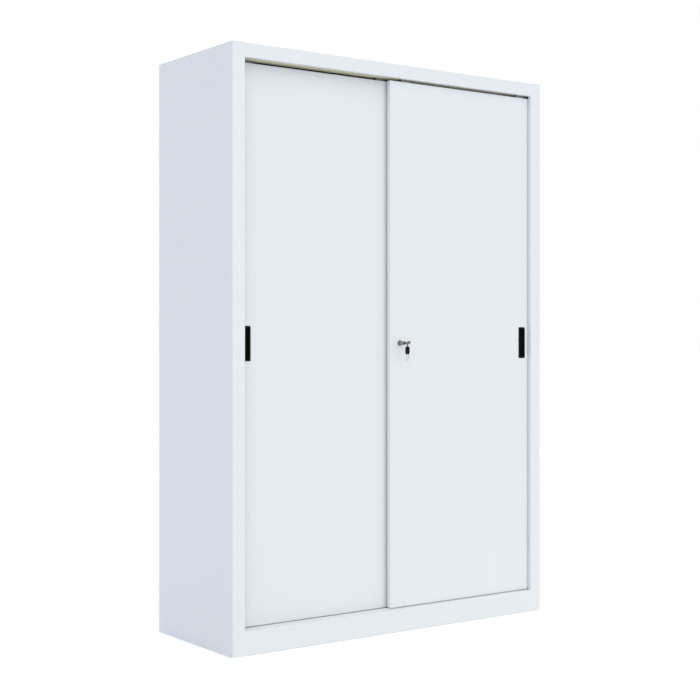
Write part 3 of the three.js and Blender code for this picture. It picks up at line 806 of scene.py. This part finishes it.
wire = 0.0005
wire_sides = 10
wire_play = 0.0002
eye_play = 0.0001
loop_half = half_thick + wire + wire_play
loop_length = 0.0215
loop_bend = 0.0012
loop_steps = 10
loop_top = bow_middle.z - eye_drop - eye_radius + wire + eye_play
loop_low = loop_top - loop_length + loop_half
arcs = [
    (loop_half - loop_bend, loop_top - loop_bend, loop_bend, 0, 90),
    (loop_bend - loop_half, loop_top - loop_bend, loop_bend, 90, 180),
    (0, loop_low, loop_half, 180, 360),
]
rings = []
wire_turns = [k / wire_sides * 2 * math.pi for k in range(wire_sides)]
for across, up, radius, start, end in arcs:
    for i in range(loop_steps + 1):
        angle = math.radians(start + i / loop_steps * (end - start))
        outward = Vector((math.cos(angle), 0, math.sin(angle)))
        point = Vector((lock_axis.x + across, bow_middle.y, up)) + outward * radius
        rings.append([
            point + outward * wire * math.cos(turn) + Vector((0, wire * math.sin(turn), 0))
            for turn in wire_turns
        ])
wire_loop = lofted("key_wire_loop", rings, loop=True)
finished(wire_loop, nickel, "key_bow", "nickel")


# Catch plate
# A plated keeper on the inner door's face. The bolt of the pressed lock drops into its slot.
coat(zinc, "catch_plate")
eased("catch_plate", width=0.0006, segments=3)


# Buffers and stops
# Grey rubber: round buffers on the side walls that the closed doors meet, and blocks on the track's
# ribs where the open doors end, each held down by a button-head screw.
dull_grey = (opaque(0.035, 0.036, 0.037), opaque(0.06, 0.061, 0.063))
rubber = moulded("grey_moulded_rubber", *dull_grey, gloss=0.72, grain_scale=700, depth=0.00008)

buffer_sides = 40
foot_height = 0.0035
foot_bevel = 0.0003
foot_bevel_height = 0.0004
dome_steps = 9
tip_share = 0.08


def door_buffer(side):
    """A round foot on the side wall with a dome towards the door."""
    low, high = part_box(f"{side}_door_closed_buffer")
    middle = (low + high) / 2
    radius = (high.z - low.z) / 2
    wall, tip = (low.x, high.x) if side == "left" else (high.x, low.x)
    inward = math.copysign(1, tip - wall)
    dome = abs(tip - wall) - foot_height
    profile = [
        (radius - foot_bevel, wall),
        (radius, wall + inward * foot_bevel_height),
        (radius, wall + inward * foot_height),
    ]
    for sine, cosine in quarter_turn(dome_steps)[1:-1]:
        profile.append((radius * cosine, wall + inward * (foot_height + dome * sine)))
    profile.append((radius * tip_share, tip))
    rings = turned_rings((0, middle.y, middle.z), profile, buffer_sides, "X")
    return lofted(f"{side}_door_rubber_buffer", rings)


head_radius = 0.0034
head_wall = 0.0004
head_rise = 0.0021
head_flat_share = 0.5
head_sides = 36
head_arc_steps = 5
socket_half = 0.0011
socket_depth = 0.0013
socket_edge = 0.0002
sixth = math.radians(60)


def stop_screw(side):
    """A button-head screw with a hexagon socket, which holds a block down on the track."""
    low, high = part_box(f"{side}_door_open_stop")
    middle = (low + high) / 2

    def ring(radius, rise, hexagonal=False):
        points = []
        for i in range(head_sides):
            turn = i / head_sides * 2 * math.pi
            reach = radius / math.cos(turn % sixth - sixth / 2) if hexagonal else radius
            place = (middle.x + reach * math.cos(turn), middle.y + reach * math.sin(turn), high.z + rise)
            points.append(place)
        return points

    rings = [ring(head_radius, 0)]
    for sine, cosine in quarter_turn(head_arc_steps):
        share = head_flat_share + (1 - head_flat_share) * cosine
        rings.append(ring(head_radius * share, head_wall + (head_rise - head_wall) * sine))
    rings.append(ring(socket_half + socket_edge, head_rise, hexagonal=True))
    rings.append(ring(socket_half, head_rise - socket_edge, hexagonal=True))
    rings.append(ring(socket_half, head_rise - socket_depth, hexagonal=True))
    return lofted(f"{side}_door_stop_screw", rings)


for side in ("left", "right"):
    buffer_node = f"{side}_door_closed_buffer"
    finished(door_buffer(side), rubber, "casing", "grey_rubber", buffer_node)
    coat(rubber, f"{side}_door_open_stop")
    eased(f"{side}_door_open_stop", width=0.0015, segments=3)
    finished(stop_screw(side), zinc, "casing", "zinc_steel")

bpy.context.view_layer.update()
